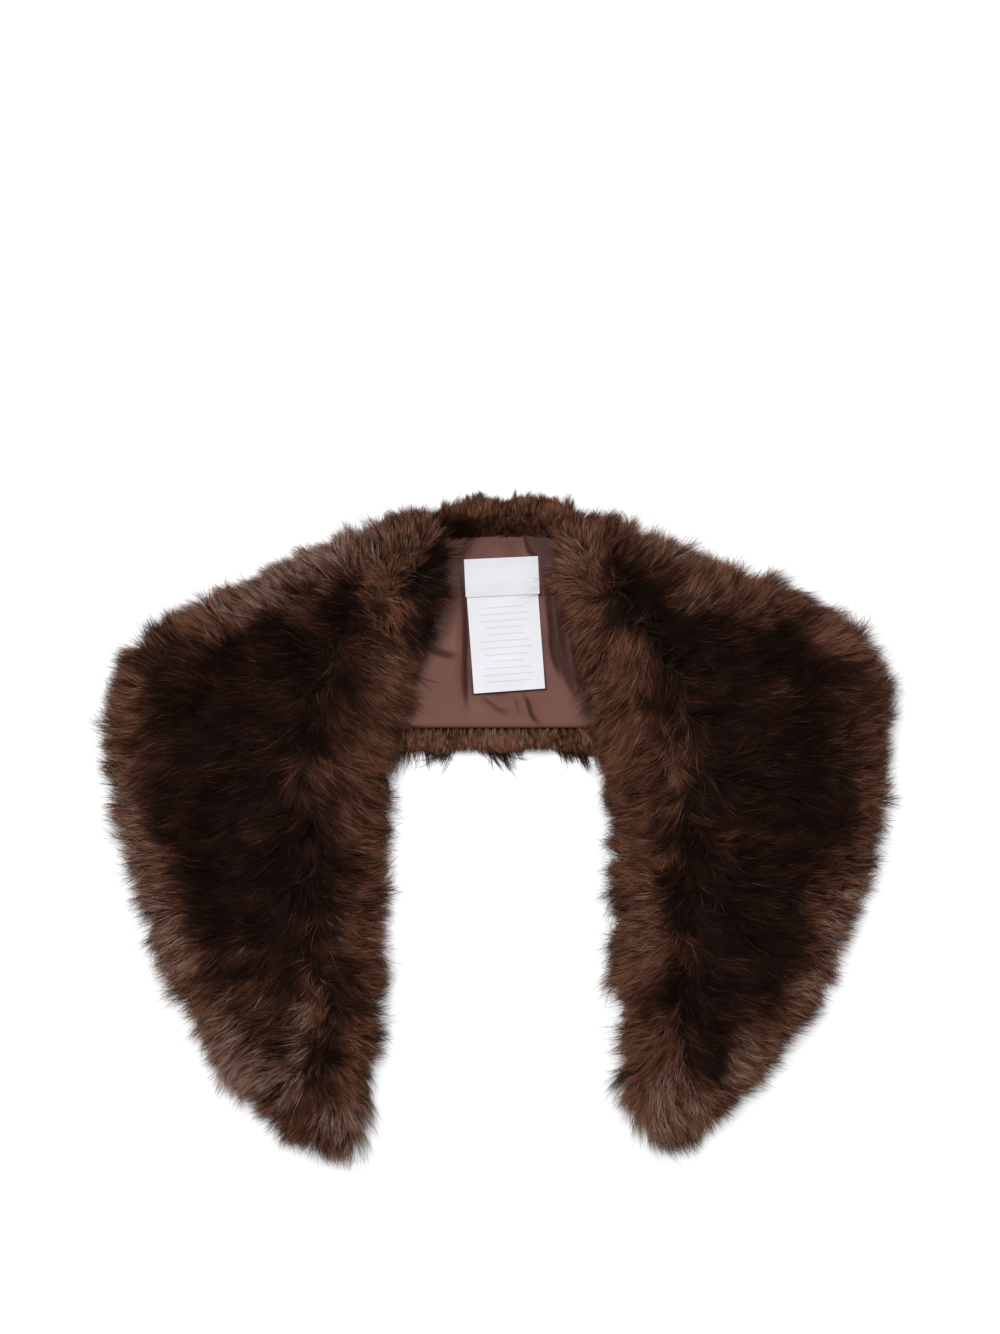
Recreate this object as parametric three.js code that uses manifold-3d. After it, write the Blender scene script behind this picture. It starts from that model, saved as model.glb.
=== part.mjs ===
// A fur collar wrap laid flat on a table and seen from above. The back lies with its lining
// up, and the two fronts are folded over it at the shoulders with their fur up. Lengths are
// in millimetres, +Z is up, the table is at z = 0, +X is to the right and +Y is towards the
// neck. Each edge table has one row for each section across a panel.
import * as THREE from "three";
import { mergeVertices } from "three/addons/utils/BufferGeometryUtils.js";
import Module from "manifold-3d";

const wasm = await Module();
wasm.setup();

// Walls and gaps
const SEAM_GAP = 0.3;
const LINING_WALL = 1;
const LABEL_WALL = 1;
const OVER_ALL = 80; // above everything, for the upper end of a cut
const UNDER_ALL = -1; // below everything, for the lower end of a cut

// Pile heights: the back lies on its fur and flattens it, and the fronts lie fur up.
const BACK_PILE = 13;
const FRONT_PILE = 28;
const FRONT_EDGE_ROUND = 30; // how far in from an edge the pile reaches its full height
const BACK_EDGE_ROUND = 15;
const UNDER_EDGE_ROUND = 9; // how far in the pile's underside reaches the table
const WIDEST_AT = 0.34; // share of the height at which the pile bulges out the most
const EDGE_BAND = 1.5; // height of the upright band round an edge

// The fur rolls over the back's neck edge onto the lining's side, and turns up at its hem.
const NECK_ROLL = { height: 27, width: 26, leftEnd: -38, rightEnd: 46, fade: 12, above: 150 };
const HEM_TURN = { height: 2.5, width: 26, showsTo: 78 };

// Where a front comes off the back's hem, it slopes down to the table.
const STEP_DOWN = { before: 4, after: 42 };

// Locks of fur: waves along an edge, and waves and hollows over the pile.
const EDGE_LOCKS = [
  { wave: 41, reach: 1.7, phase: 0.4 },
  { wave: 33, reach: 1.3, phase: 2.1 },
  { wave: 67, reach: 1.2, phase: 4.4 },
];
const PILE_LOCKS = [
  { wave: 74, turn: 20, height: 1.5, phase: 0.7 },
  { wave: 57, turn: 105, height: 1.3, phase: 2.9 },
  { wave: 43, turn: 62, height: 1.0, phase: 4.8 },
  { wave: 49, turn: 150, height: 0.9, phase: 1.6 },
];
const PILE_HOLLOWS = [
  { x: -176, y: 96, reach: 34, depth: 4 },
  { x: -205, y: 6, reach: 38, depth: 4.5 },
  { x: -138, y: -44, reach: 30, depth: 4 },
  { x: -178, y: -112, reach: 24, depth: 5 },
  { x: -118, y: -150, reach: 22, depth: 3.5 },
  { x: -92, y: 152, reach: 22, depth: 3.5 },
  { x: 96, y: 156, reach: 22, depth: 3.5 },
  { x: 150, y: 104, reach: 34, depth: 4.5 },
  { x: 188, y: 34, reach: 40, depth: 4 },
  { x: 162, y: -52, reach: 34, depth: 4.5 },
  { x: 132, y: -128, reach: 26, depth: 4 },
  { x: 164, y: -172, reach: 18, depth: 4 },
];

const LEFT_FRONT = [
  { outerX: -37, outerY: 225, innerX: -37, innerY: 225 },
  { outerX: -54, outerY: 230, innerX: -31, innerY: 206 },
  { outerX: -83, outerY: 223, innerX: -32, innerY: 184 },
  { outerX: -122, outerY: 206, innerX: -37, innerY: 165 },
  { outerX: -166, outerY: 187, innerX: -46, innerY: 143 },
  { outerX: -212, outerY: 165, innerX: -55, innerY: 121 },
  { outerX: -259, outerY: 138, innerX: -63, innerY: 98 },
  { outerX: -282, outerY: 98, innerX: -71, innerY: 71 },
  { outerX: -286, outerY: 58, innerX: -77, innerY: 40 },
  { outerX: -279, outerY: 10, innerX: -80, innerY: 1 },
  { outerX: -267, outerY: -39, innerX: -80, innerY: -39 },
  { outerX: -249, outerY: -89, innerX: -82, innerY: -89 },
  { outerX: -227, outerY: -136, innerX: -83, innerY: -132 },
  { outerX: -202, outerY: -179, innerX: -89, innerY: -172 },
  { outerX: -171, outerY: -211, innerX: -92, innerY: -205 },
  { outerX: -144, outerY: -235, innerX: -96, innerY: -228 },
  { outerX: -118, outerY: -242, innerX: -118, innerY: -242 },
];

const RIGHT_FRONT = [
  { outerX: 42, outerY: 227, innerX: 42, innerY: 227 },
  { outerX: 61, outerY: 230, innerX: 33, innerY: 207 },
  { outerX: 90, outerY: 221, innerX: 34, innerY: 186 },
  { outerX: 126, outerY: 205, innerX: 38, innerY: 165 },
  { outerX: 166, outerY: 188, innerX: 47, innerY: 143 },
  { outerX: 209, outerY: 172, innerX: 55, innerY: 121 },
  { outerX: 251, outerY: 147, innerX: 60, innerY: 98 },
  { outerX: 278, outerY: 114, innerX: 66, innerY: 71 },
  { outerX: 286, outerY: 73, innerX: 72, innerY: 40 },
  { outerX: 281, outerY: 22, innerX: 78, innerY: 3 },
  { outerX: 270, outerY: -28, innerX: 80, innerY: -35 },
  { outerX: 256, outerY: -75, innerX: 78, innerY: -78 },
  { outerX: 233, outerY: -122, innerX: 82, innerY: -122 },
  { outerX: 206, outerY: -165, innerX: 90, innerY: -158 },
  { outerX: 176, outerY: -200, innerX: 87, innerY: -194 },
  { outerX: 148, outerY: -226, innerX: 103, innerY: -223 },
  { outerX: 125, outerY: -241, innerX: 125, innerY: -241 },
];

// The back, from its left end to its right end. Outer is its neck and shoulder side, and
// inner is its hem.
const BACK = [
  { outerX: -264, outerY: 88, innerX: -264, innerY: 88 },
  { outerX: -255, outerY: 114, innerX: -248, innerY: 62 },
  { outerX: -227, outerY: 133, innerX: -212, innerY: 49 },
  { outerX: -190, outerY: 152, innerX: -178, innerY: 46 },
  { outerX: -150, outerY: 171, innerX: -144, innerY: 45 },
  { outerX: -112, outerY: 189, innerX: -110, innerY: 45 },
  { outerX: -82, outerY: 203, innerX: -84, innerY: 44 },
  { outerX: -60, outerY: 216, innerX: -64, innerY: 44 },
  { outerX: -42, outerY: 231, innerX: -44, innerY: 43 },
  { outerX: -22, outerY: 236, innerX: -22, innerY: 44 },
  { outerX: 0, outerY: 235, innerX: 0, innerY: 45 },
  { outerX: 22, outerY: 237, innerX: 22, innerY: 45 },
  { outerX: 44, outerY: 237, innerX: 44, innerY: 44 },
  { outerX: 61, outerY: 220, innerX: 64, innerY: 43 },
  { outerX: 84, outerY: 205, innerX: 84, innerY: 43 },
  { outerX: 115, outerY: 190, innerX: 112, innerY: 44 },
  { outerX: 152, outerY: 172, innerX: 146, innerY: 45 },
  { outerX: 190, outerY: 155, innerX: 180, innerY: 46 },
  { outerX: 226, outerY: 135, innerX: 214, innerY: 50 },
  { outerX: 252, outerY: 113, innerX: 248, innerY: 63 },
  { outerX: 263, outerY: 90, innerX: 263, innerY: 90 },
];

const BACK_LINING = [
  { outerX: -238, outerY: 85, innerX: -238, innerY: 85 },
  { outerX: -220, outerY: 106, innerX: -217, innerY: 75 },
  { outerX: -188, outerY: 122, innerX: -185, innerY: 72 },
  { outerX: -150, outerY: 142, innerX: -150, innerY: 71 },
  { outerX: -112, outerY: 161, innerX: -112, innerY: 70.6 },
  { outerX: -82, outerY: 176, innerX: -82, innerY: 70.6 },
  { outerX: -60, outerY: 189, innerX: -62, innerY: 70.6 },
  { outerX: -44, outerY: 201, innerX: -47, innerY: 70.6 },
  { outerX: -30, outerY: 207, innerX: -32, innerY: 70.6 },
  { outerX: -15, outerY: 209, innerX: -16, innerY: 70.6 },
  { outerX: 0, outerY: 209.5, innerX: 0, innerY: 70.6 },
  { outerX: 16, outerY: 210, innerX: 16, innerY: 70.6 },
  { outerX: 32, outerY: 210, innerX: 32, innerY: 70.6 },
  { outerX: 46, outerY: 203, innerX: 47, innerY: 70.6 },
  { outerX: 61, outerY: 191, innerX: 62, innerY: 70.6 },
  { outerX: 82, outerY: 178, innerX: 82, innerY: 70.6 },
  { outerX: 112, outerY: 163, innerX: 112, innerY: 70.6 },
  { outerX: 150, outerY: 145, innerX: 150, innerY: 71 },
  { outerX: 188, outerY: 126, innerX: 185, innerY: 72 },
  { outerX: 220, outerY: 108, innerX: 217, innerY: 75 },
  { outerX: 238, outerY: 88, innerX: 238, innerY: 88 },
];

// Creases of the back's lining where it shows: each is a soft ridge from one end to the other.
const CREASES = [
  { fromX: -32, fromY: 186, toX: -27, toY: 92, halfWidth: 5, height: 2.4 },
  { fromX: 36, fromY: 170, toX: 50, toY: 94, halfWidth: 7, height: 3.2 },
  { fromX: 46, fromY: 152, toX: 57, toY: 104, halfWidth: 6, height: 2 },
  { fromX: 18, fromY: 208.5, toX: 36, toY: 200.5, halfWidth: 3.4, height: 1.8 },
  { fromX: -28, fromY: 208, toX: -17, toY: 201, halfWidth: 3.6, height: 1.6 },
  { fromX: 4, fromY: 90, toX: 18, toY: 77, halfWidth: 5, height: 2 },
  { fromX: -46, fromY: 136, toX: -33, toY: 116, halfWidth: 6, height: 1.8 },
];

// Labels on the back's lining: the middle of the upper edge, the size, and the turn.
const MAIN_LABEL = { x: 0.7, y: 193.3, width: 53.4, length: 27.4, turn: 2.6 };
const CARE_LABEL = { x: 1.5, y: 170, width: 51.4, length: 73, turn: 4.2 };
const CARE_LABEL_LIFT = 2.4; // how far its free end stands off the lining
const LABEL_RISE = { from: 6, to: 19 }; // where the main label climbs onto the care label

// Rows and columns of the meshes
const FRONT_ROWS = 38;
const BACK_ROWS = 38;
const BACK_LINING_ROWS = 36;
const PILE_STOPS = [0, 3, 9, 17, 28];
const PILE_MIDDLE = 6;
const UNDER_STOPS = [0, 4, 12];
const UNDER_MIDDLE = 3;
const BACK_STOPS = [0, 3, 9, 17, 24];
const BACK_MIDDLE = 3;
const LINING_STOPS = [0];
const BACK_LINING_MIDDLE = 13;

const { clamp, lerp, smoothstep, degToRad } = THREE.MathUtils;

// The height share of a quarter circle, from 0 at the edge to 1 at reach.
const quarterRound = (distance, reach) => Math.sqrt(1 - (1 - clamp(distance / reach, 0, 1)) ** 2);

// A panel's two edges as smooth curves, sampled at the same sections. The sections are closer
// at the ends, or closer in the middle where atEnds is below 0.
function edgesOf(table, rows, atEnds = 0.05) {
  const through = (x, y) => new THREE.CatmullRomCurve3(table.map((s) => new THREE.Vector3(s[x], s[y], 0)));
  const sample = (curve) =>
    Array.from({ length: rows + 1 }, (_, i) => {
      const share = i / rows;
      return curve.getPoint(clamp(share - atEnds * Math.sin(2 * Math.PI * share), 0, 1));
    });
  return { outer: sample(through("outerX", "outerY")), inner: sample(through("innerX", "innerY")) };
}

const outlineOf = ({ outer, inner }) => [...outer, ...inner.slice(1, -1).reverse()];

// The edges moved out by a distance, or by a function of the length along the outline.
function grown(edges, reach) {
  const outline = outlineOf(edges);
  const count = outline.length;
  const turned = THREE.ShapeUtils.isClockWise(outline) ? -1 : 1;
  let along = 0;
  const moved = outline.map((point, i) => {
    const before = outline[(i + count - 1) % count];
    const after = outline[(i + 1) % count];
    along += i ? point.distanceTo(before) : 0;
    const way = after.clone().sub(before).normalize();
    const step = typeof reach === "function" ? reach(along) : reach;
    return new THREE.Vector3(point.x + way.y * turned * step, point.y - way.x * turned * step, 0);
  });
  const rows = edges.outer.length;
  const inner = [moved[0], ...moved.slice(rows).reverse(), moved[rows - 1]];
  return { outer: moved.slice(0, rows), inner };
}

const edgeLocks = (along) =>
  EDGE_LOCKS.reduce((sum, l) => sum + l.reach * Math.sin((2 * Math.PI * along) / l.wave + l.phase), 0);

function distanceTo(outline, x, y) {
  let least = Infinity;
  outline.forEach((a, i) => {
    const b = outline[(i + 1) % outline.length];
    const [dx, dy] = [b.x - a.x, b.y - a.y];
    const share = clamp(((x - a.x) * dx + (y - a.y) * dy) / (dx * dx + dy * dy), 0, 1);
    least = Math.min(least, Math.hypot(x - a.x - share * dx, y - a.y - share * dy));
  });
  return least;
}

// Shares across a section, at the stops from both of its ends and evenly in between.
function sharesAcross(width, stops, middle) {
  const scale = Math.min(1, (0.5 * width) / (stops.at(-1) + 0.5 * width / middle)) / width;
  const low = stops.map((stop) => stop * scale);
  const high = low.map((share) => 1 - share).reverse();
  const between = Array.from({ length: middle - 1 }, (_, i) => lerp(low.at(-1), high[0], (i + 1) / middle));
  return [...low, ...between, ...high];
}

// A sheet of points over a panel, a row for each section. A corner's row is one point.
function sheetOver({ outer, inner }, stops, middle, height) {
  const widest = Math.max(...outer.map((point, i) => point.distanceTo(inner[i])));
  return outer.map((out, i) => {
    const shares = sharesAcross(Math.max(out.distanceTo(inner[i]), 1e-3), stops, middle);
    if (out.distanceTo(inner[i]) < 1e-6 * widest) shares.fill(0);
    return shares.map((share) => {
      const point = out.clone().lerp(inner[i], share);
      return point.setZ(height(point.x, point.y));
    });
  });
}

// A closed wall between an upper and a lower sheet that have the same rows and edges.
function wallBetween(upper, lower) {
  const corners = [];
  const strip = (one, other) => {
    for (let k = 1; k < one.length; k++) {
      corners.push(one[k - 1], other[k - 1], one[k], one[k], other[k - 1], other[k]);
    }
  };
  for (let i = 1; i < upper.length; i++) {
    strip(upper[i - 1], upper[i]);
    strip(lower[i], lower[i - 1]);
  }
  strip(upper.map((row) => row[0]), lower.map((row) => row[0]));
  strip(lower.map((row) => row.at(-1)), upper.map((row) => row.at(-1)));
  const isCorner = (row) => row[0].distanceTo(row.at(-1)) < 1e-6;
  if (!isCorner(upper[0])) strip(lower[0], upper[0]);
  if (!isCorner(upper.at(-1))) strip(upper.at(-1), lower.at(-1));
  const merged = mergeVertices(new THREE.BufferGeometry().setFromPoints(corners), 1e-4);
  const pointAt = (v) => new THREE.Vector3().fromBufferAttribute(merged.attributes.position, v);
  const kept = [];
  let volume = 0;
  for (let t = 0; t < merged.index.count; t += 3) {
    const [a, b, c] = [0, 1, 2].map((k) => merged.index.getX(t + k));
    if (a === b || b === c || c === a) continue;
    kept.push(a, b, c);
    volume += pointAt(a).dot(pointAt(b).cross(pointAt(c)));
  }
  merged.setIndex(volume < 0 ? kept.reverse() : kept);
  return merged;
}

function toSolid(geometry) {
  const vertProperties = geometry.attributes.position.array;
  const triVerts = new Uint32Array(geometry.index.array);
  return new wasm.Manifold(new wasm.Mesh({ numProp: 3, vertProperties, triVerts }));
}

function toGeometry(solid) {
  const mesh = solid.getMesh();
  const geometry = new THREE.BufferGeometry();
  geometry.setAttribute("position", new THREE.BufferAttribute(mesh.vertProperties, 3));
  return geometry.setIndex(new THREE.BufferAttribute(mesh.triVerts, 1));
}

// The largest body of a cut, without the slivers that it leaves.
const mainBody = (solid) =>
  solid.decompose().reduce((most, body) => (body.volume() > most.volume() ? body : most));

// The pile's upper face: round at the edge, where it bulges the most at a share of its height.
function pileTop(edges, full, edgeRound, stops, middle) {
  const outline = outlineOf(edges);
  return sheetOver(edges, stops, middle, (x, y) => {
    const away = distanceTo(outline, x, y);
    const top = full(x, y, away);
    return lerp(WIDEST_AT * top, top, quarterRound(away, edgeRound)) + 0.5 * EDGE_BAND;
  });
}

// The pile's underside, which lies on the table inside its edge.
function pileUnder(edges, full) {
  const outline = outlineOf(edges);
  return sheetOver(edges, UNDER_STOPS, UNDER_MIDDLE, (x, y) => {
    const away = distanceTo(outline, x, y);
    return (WIDEST_AT * full(x, y, away) - 0.5 * EDGE_BAND) * (1 - quarterRound(away, UNDER_EDGE_ROUND));
  });
}

function pileLocks(x, y) {
  const waves = PILE_LOCKS.reduce((sum, l) => {
    const across = x * Math.cos(degToRad(l.turn)) + y * Math.sin(degToRad(l.turn));
    return sum + l.height * Math.sin((2 * Math.PI * across) / l.wave + l.phase);
  }, 0);
  return PILE_HOLLOWS.reduce((sum, h) => {
    const away = Math.hypot(x - h.x, y - h.y) / h.reach;
    return sum - h.depth * Math.exp(-(away ** 2));
  }, waves);
}

const backEdges = edgesOf(BACK, BACK_ROWS);
const hem = backEdges.inner;

function hemAt(x) {
  const next = hem.findIndex((point) => point.x > x);
  if (next < 1) return (next === 0 ? hem[0] : hem.at(-1)).y;
  const [low, high] = [hem[next - 1], hem[next]];
  return lerp(low.y, high.y, (x - low.x) / (high.x - low.x));
}

// The level that a front lies on: the back's lining, then down past the hem to the table.
const ON_THE_BACK = BACK_PILE + SEAM_GAP + LINING_WALL + SEAM_GAP;
const restLevel = (x, y) => {
  const past = hemAt(x) + STEP_DOWN.before - y;
  return ON_THE_BACK * (1 - smoothstep(past, 0, STEP_DOWN.before + STEP_DOWN.after));
};

function crease(x, y) {
  return CREASES.reduce((sum, c) => {
    const [dx, dy] = [c.toX - c.fromX, c.toY - c.fromY];
    const share = clamp(((x - c.fromX) * dx + (y - c.fromY) * dy) / (dx * dx + dy * dy), 0, 1);
    const away = Math.hypot(x - c.fromX - share * dx, y - c.fromY - share * dy);
    return sum + c.height * (1 - smoothstep(away, 0, c.halfWidth));
  }, 0);
}

// The back's fur: flat under the lining, rolled over at the neck and turned up at its hem
// where that shows.
function backPile(x, y, away) {
  if (y > NECK_ROLL.above) {
    const inReach = Math.min(x - NECK_ROLL.leftEnd, NECK_ROLL.rightEnd - x);
    const share = smoothstep(inReach, -NECK_ROLL.fade, 0.5 * NECK_ROLL.fade);
    const across = clamp(away / NECK_ROLL.width, 0, 1);
    return BACK_PILE + (NECK_ROLL.height - BACK_PILE) * share * Math.sin(Math.PI * lerp(0.32, 1, across));
  }
  const shows = 1 - smoothstep(Math.abs(x), HEM_TURN.showsTo - 20, HEM_TURN.showsTo);
  return BACK_PILE + HEM_TURN.height * shows * Math.sin(Math.PI * clamp(away / HEM_TURN.width, 0, 1));
}

const liningFloor = BACK_PILE + SEAM_GAP;
const backLiningEdges = edgesOf(BACK_LINING, BACK_LINING_ROWS, -0.09);
const backFurEdges = grown(backEdges, edgeLocks);
const backTop = pileTop(backFurEdges, backPile, BACK_EDGE_ROUND, BACK_STOPS, BACK_MIDDLE);
const backLiningBottom = (x, y) => liningFloor + crease(x, y);
const backLiningTop = (x, y) => backLiningBottom(x, y) + LINING_WALL;

const overBackLining = (edges, height) => sheetOver(edges, LINING_STOPS, BACK_LINING_MIDDLE, height);
const flatUnder = (edges, level) => sheetOver(edges, LINING_STOPS, 1, () => level);

function makeBackLining() {
  const upper = overBackLining(backLiningEdges, backLiningTop);
  return toSolid(wallBetween(upper, overBackLining(backLiningEdges, backLiningBottom)));
}

function makeBackFur() {
  const pile = toSolid(wallBetween(backTop, pileUnder(backFurEdges, backPile)));
  const roomEdges = grown(backLiningEdges, SEAM_GAP);
  const room = wallBetween(flatUnder(roomEdges, OVER_ALL), flatUnder(roomEdges, BACK_PILE));
  return mainBody(pile.subtract(toSolid(room)));
}

// A piece's room in what lies on it: the piece raised by the gap, and again made wider by it.
function roomOf(geometry) {
  const raised = geometry.clone().translate(0, 0, SEAM_GAP);
  const box = new THREE.Box3().setFromBufferAttribute(raised.attributes.position);
  const [size, middle] = [box.getSize(new THREE.Vector3()), box.getCenter(new THREE.Vector3())];
  const wider = raised.clone().translate(-middle.x, -middle.y, 0);
  wider.scale(1 + (4 * SEAM_GAP) / size.x, 1 + (4 * SEAM_GAP) / size.y, 1).translate(middle.x, middle.y, 0);
  return toSolid(raised).add(toSolid(wider));
}

// What the back takes up, down through the table, to be cut out of what lies on it.
function backRoom() {
  const pile = wallBetween(backTop, flatUnder(backFurEdges, UNDER_ALL));
  const upper = overBackLining(backLiningEdges, backLiningTop);
  return roomOf(pile).add(roomOf(wallBetween(upper, flatUnder(backLiningEdges, UNDER_ALL))));
}

// A front's fur: the whole pile down to the table, less the back that it lies on.
function makeFrontFur(table, under) {
  const edges = grown(edgesOf(table, FRONT_ROWS), edgeLocks);
  const full = (x, y) => restLevel(x, y) + FRONT_PILE + pileLocks(x, y);
  const upper = pileTop(edges, full, FRONT_EDGE_ROUND, PILE_STOPS, PILE_MIDDLE);
  return mainBody(toSolid(wallBetween(upper, pileUnder(edges, full))).subtract(under));
}

// A flat label with its upper edge sewn down: rise(down) is its height at a distance down it.
function makeLabel({ x, y, width, length, turn }, rise) {
  const [across, down] = [4, 14];
  const turned = new THREE.Matrix4().makeRotationZ(degToRad(turn)).setPosition(x, y, 0);
  const sheet = (lift) =>
    Array.from({ length: down + 1 }, (_, i) =>
      Array.from({ length: across + 1 }, (_, j) => {
        const fromTop = (length * i) / down;
        const point = new THREE.Vector3(width * (j / across - 0.5), -fromTop, rise(fromTop) + lift);
        return point.applyMatrix4(turned);
      }),
    );
  return toSolid(wallBetween(sheet(LABEL_WALL), sheet(0)));
}

const onLining = liningFloor + LINING_WALL + SEAM_GAP;

const makeCareLabel = () =>
  makeLabel(CARE_LABEL, (down) => onLining + CARE_LABEL_LIFT * (down / CARE_LABEL.length) ** 2);

const makeMainLabel = () =>
  makeLabel(MAIN_LABEL, (down) => {
    const climbed = smoothstep(down, LABEL_RISE.from, LABEL_RISE.to);
    return onLining + (LABEL_WALL + SEAM_GAP) * climbed;
  });

const material = (color, roughness) =>
  new THREE.MeshStandardMaterial({ color, roughness, metalness: 0, flatShading: true });
const fur = material(0x3c261b, 0.85);
const lining = material(0x7a5a50, 0.45);
const paleSatin = material(0xe4e4ea, 0.5);

const under = backRoom();
const pieces = [
  { name: "fur_back", solid: makeBackFur(), material: fur },
  { name: "fur_front_left", solid: makeFrontFur(LEFT_FRONT, under), material: fur },
  { name: "fur_front_right", solid: makeFrontFur(RIGHT_FRONT, under), material: fur },
  { name: "lining_back", solid: makeBackLining(), material: lining },
  { name: "care_label", solid: makeCareLabel(), material: paleSatin },
  { name: "main_label", solid: makeMainLabel(), material: paleSatin },
];

const wrap = new THREE.Group();
for (const { name, solid, material } of pieces) {
  const mesh = new THREE.Mesh(toGeometry(solid), material);
  mesh.name = name;
  wrap.add(mesh);
}

export default wrap;
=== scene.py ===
# Fur collar wrap, laid out flat with its lining up at the back and its fronts folded over.
import math

import bmesh
import bpy
import numpy as np
from bpy.props import FloatProperty, FloatVectorProperty, IntProperty, PointerProperty
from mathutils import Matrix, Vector
from mathutils.bvhtree import BVHTree


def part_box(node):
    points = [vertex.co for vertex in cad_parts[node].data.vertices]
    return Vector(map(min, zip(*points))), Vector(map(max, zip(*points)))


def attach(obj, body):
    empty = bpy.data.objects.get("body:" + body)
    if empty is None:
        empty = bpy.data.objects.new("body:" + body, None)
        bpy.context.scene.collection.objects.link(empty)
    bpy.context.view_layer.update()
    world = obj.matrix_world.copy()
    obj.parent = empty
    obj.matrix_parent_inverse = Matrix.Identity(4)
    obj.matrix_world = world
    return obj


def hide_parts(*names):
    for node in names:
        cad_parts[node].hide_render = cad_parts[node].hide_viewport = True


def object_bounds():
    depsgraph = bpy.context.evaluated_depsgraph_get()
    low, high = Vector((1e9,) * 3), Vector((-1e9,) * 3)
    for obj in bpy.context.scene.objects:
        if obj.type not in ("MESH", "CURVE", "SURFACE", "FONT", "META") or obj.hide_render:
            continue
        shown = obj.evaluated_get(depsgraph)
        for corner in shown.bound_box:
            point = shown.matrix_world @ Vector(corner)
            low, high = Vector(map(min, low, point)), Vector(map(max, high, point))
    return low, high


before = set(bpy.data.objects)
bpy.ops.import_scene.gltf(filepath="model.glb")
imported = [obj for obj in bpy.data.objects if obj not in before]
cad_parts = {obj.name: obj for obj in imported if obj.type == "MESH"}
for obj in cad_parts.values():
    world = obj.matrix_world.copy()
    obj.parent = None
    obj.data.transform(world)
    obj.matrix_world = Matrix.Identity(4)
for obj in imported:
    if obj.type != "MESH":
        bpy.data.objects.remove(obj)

CAD_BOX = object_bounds()
BODY = "root"
MM = 0.001
UV_NAME = "OFBake"

# The photo's height, and the row that lies over the frame's origin, in pixels from its top.
PHOTO_ROWS = 1334
ORIGIN_ROW = 826

# The camera's sensor in millimetres, and the height in metres at which the picture's scale is true.
SENSOR = 36.0
PILE_MIDDLE = 0.02

# Where the large soft light hangs, what it points at and its width, in metres, and the sky's strength.
KEY_PLACE = (-0.4, 0.85, 2.8)
KEY_AIM = (0, 0.05, 0)
KEY_WIDTH = 1.7
SKY_STRENGTH = 0.44

# The table's width and its level, in metres.
TABLE_WIDTH = 12
TABLE_LEVEL = -0.0004

# How far hair stays above the ground, and how far single hairs may stand above the solids, in metres.
GROUND_CLEAR = 0.0004
OVER_PILE = 0.008

# The grain of the underfur's mesh in metres, the share of stray hairs, and the tone where brown ends
# and silver begins; the silver is partly lighter hair and partly painted sheen.
UNDERFUR_GRAIN = 0.0055
STRAYS = 0.07
BROWN_END = 0.79

# How many hairs stand on the neck roll and on the hem.
NECK_HAIRS = 14000
HEM_HAIRS = 12000

bl_info = {
    "name": "Fur Collar Wrap",
    "version": (1, 0, 0),
    "blender": (4, 5, 0),
    "location": "View3D > Sidebar > Wrap",
    "description": "Builds a lined fur collar wrap, laid flat, and its studio",
    "category": "Add Mesh",
}

# Creases of the lining where it shows: each one's start, end, half width and height in
# millimetres. It rises slowly on one side, falls sharply on the other and dies out at both ends.
CREASES = [
    ((-24, 78), (-30, 186), 5.5, 2.6),
    ((30, 194), (55, 90), 8.0, 3.0),
    ((33, 168), (44, 104), 5.5, 2.3),
    ((46, 146), (59, 100), 5.5, 2.0),
    ((15, 216), (27, 192), 5.0, 2.0),
    ((-12, 216), (-30, 192), 5.0, 2.0),
    ((16, 97), (30, 72), 5.5, 1.9),
    ((-16, 93), (8, 82), 5.0, 0.9),
    ((-70, 141), (-28, 122), 8.0, 1.9),
    ((9, 96), (17, 79), 3.5, 0.7),
]

# How far the lining shows to the left and the right of the middle, at places up the back: the
# place, left and right, in millimetres. The lining's painted shadow beside the fronts' fur darkens
# towards these lines.
LINING_SHOWS = [(70, 74, 67), (100, 67, 60), (115, 59, 54), (141, 42, 45), (171, 30, 38), (205, 29, 31)]

# The line on each front that its hair falls away from, from the shoulder down, in millimetres.
PARTINGS = {
    "left": [(-76, 177), (-108, 141), (-126, 91), (-142, 19), (-138, -53), (-131, -125), (-124, -174)],
    "right": [(74, 177), (105, 145), (128, 91), (143, 19), (140, -53), (134, -125), (125, -178)],
}

# Lighter and darker places in the fronts' fur: the middle, the half width and half height in
# millimetres, the turn in degrees, and the change of tone. The three dark places at the left
# front's inner edge, beside the lining, are painted shadow.
LEFT_PATCHES = [
    (-152, 182, 70, 27, 28, 0.34), (-80, 200, 24, 28, 0, 0.18), (-196, -104, 30, 30, 0, 0.08),
    (-85, 138, 20, 32, 0, 0.2), (-92, 104, 16, 20, 0, 0.14), (-218, 130, 17, 6, 50, 0.4),
    (-196, 168, 30, 8, 25, 0.12), (-141, 33, 20, 25, 30, 0.17), (-122, 44, 14, 16, 0, 0.1),
    (-176, -6, 15, 8, 10, 0.15), (-174, -156, 55, 43, -50, 0.36), (-97, -222, 15, 14, 0, 0.2),
    (-158, -186, 18, 22, 0, 0.1), (-193, -86, 9, 11, 0, 0.2), (-193, -113, 9, 5, 20, 0.34),
    (-144, -125, 18, 24, 0, 0.16), (-272, -3, 19, 54, 0, 0.25), (-243, -72, 18, 44, 20, 0.28),
    (-120, -215, 26, 16, 0, 0.2), (-117, 160, 13, 20, 0, -0.3), (-238, 140, 20, 6, 0, -0.2),
    (-196, 134, 14, 8, -30, -0.14), (-166, 148, 12, 7, -30, -0.16), (-155, -28, 14, 18, 0, -0.12),
    (-148, -90, 16, 34, 0, -0.14), (-198, -104, 22, 17, 0, -0.22), (-106, -124, 14, 32, 0, -0.26),
    (-124, -168, 18, 26, 0, -0.26), (-43, 206, 10, 22, 0, -0.42), (-48, 166, 11, 32, -6, -0.44),
    (-56, 134, 9, 20, -10, -0.3),
]
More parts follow.
